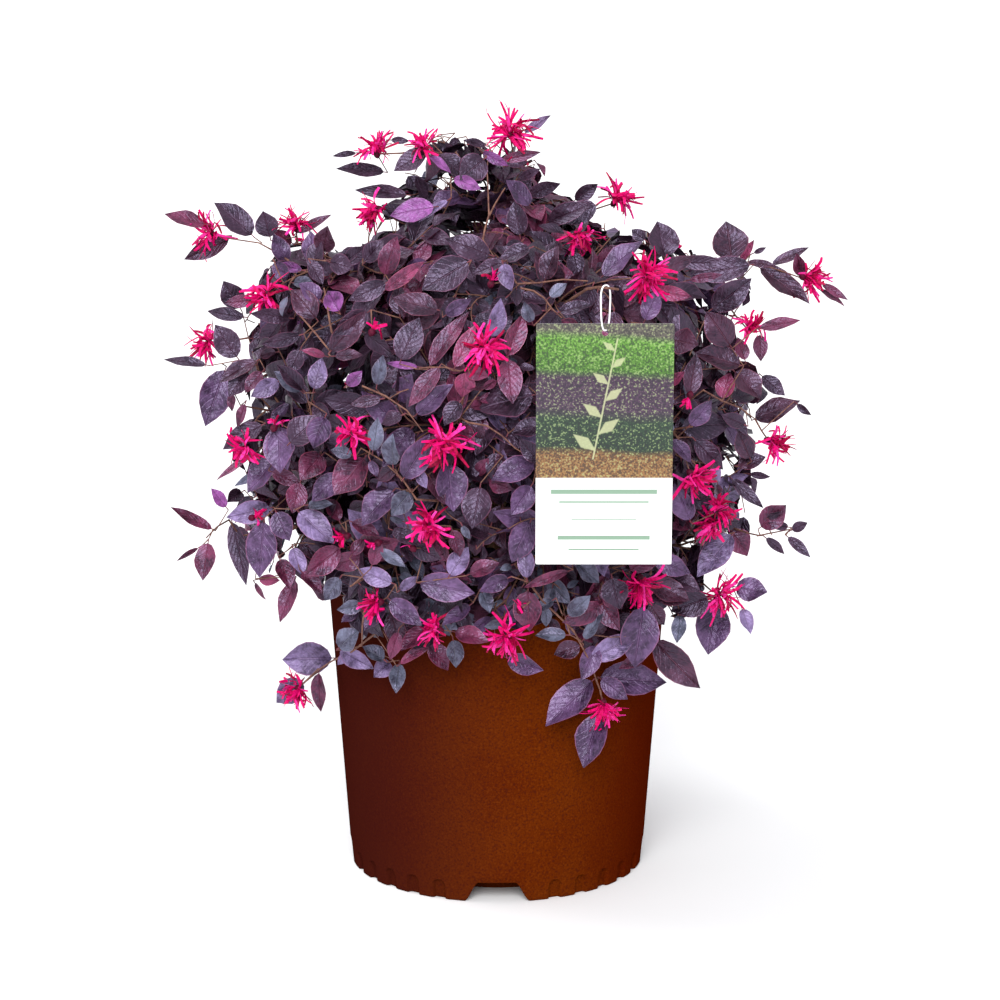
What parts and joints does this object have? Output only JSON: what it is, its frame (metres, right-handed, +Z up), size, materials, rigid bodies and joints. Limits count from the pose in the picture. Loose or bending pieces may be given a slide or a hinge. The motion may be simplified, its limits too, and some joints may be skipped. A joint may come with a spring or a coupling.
{
  "type": "potted chinese fringe flower shrub",
  "caption": "Bushy plum-leaved evergreen shrub with hot pink fringe-petalled blossoms, in a round brown nursery pot with a plain hang tag.",
  "frame": {"origin": "middle of the pot's flat underside, on the surface it stands on", "axes": "+Z up along the pot's axis, -Y towards the front where the hang tag is, +X to the right seen from the front"},
  "size_m": [0.5467, 0.4925, 0.6033],
  "materials": {
    "pot_plastic": "matte injection moulded plastic",
    "potting_mix": "loose bark and peat",
    "bark": "fine grey brown bark",
    "plum_foliage": "satin leaves and soft petals",
    "card": "coated card",
    "loop_plastic": "white elastic loop"
  },
  "bodies": {
    "root": {"bough_lower_1": "bark", "bough_lower_2": "bark", "bough_lower_3": "bark", "bough_lower_4": "bark", "bough_lower_5": "bark", "bough_lower_6": "bark", "bough_lower_7": "bark", "bough_lower_8": "bark", "bough_middle_1": "bark", "bough_middle_2": "bark", "bough_middle_3": "bark", "bough_middle_4": "bark", "bough_middle_5": "bark", "bough_middle_6": "bark", "bough_middle_7": "bark", "bough_upper_1": "bark", "bough_upper_2": "bark", "bough_upper_3": "bark", "bough_upper_4": "bark", "bough_upper_5": "bark", "foliage_lower_1": "plum_foliage", "foliage_lower_2": "plum_foliage", "foliage_lower_3": "plum_foliage", "foliage_lower_4": "plum_foliage", "foliage_lower_5": "plum_foliage", "foliage_lower_6": "plum_foliage", "foliage_lower_7": "plum_foliage", "foliage_lower_8": "plum_foliage", "foliage_middle_1": "plum_foliage", "foliage_middle_2": "plum_foliage", "foliage_middle_3": "plum_foliage", "foliage_middle_4": "plum_foliage", "foliage_middle_5": "plum_foliage", "foliage_middle_6": "plum_foliage", "foliage_middle_7": "plum_foliage", "foliage_top": "plum_foliage", "foliage_upper_1": "plum_foliage", "foliage_upper_2": "plum_foliage", "foliage_upper_3": "plum_foliage", "foliage_upper_4": "plum_foliage", "foliage_upper_5": "plum_foliage", "hang_tag": "card", "pot": "pot_plastic", "potting_mix": "potting_mix", "tag_loop": "loop_plastic", "trunk": "bark"}
  },
  "joints": []
}
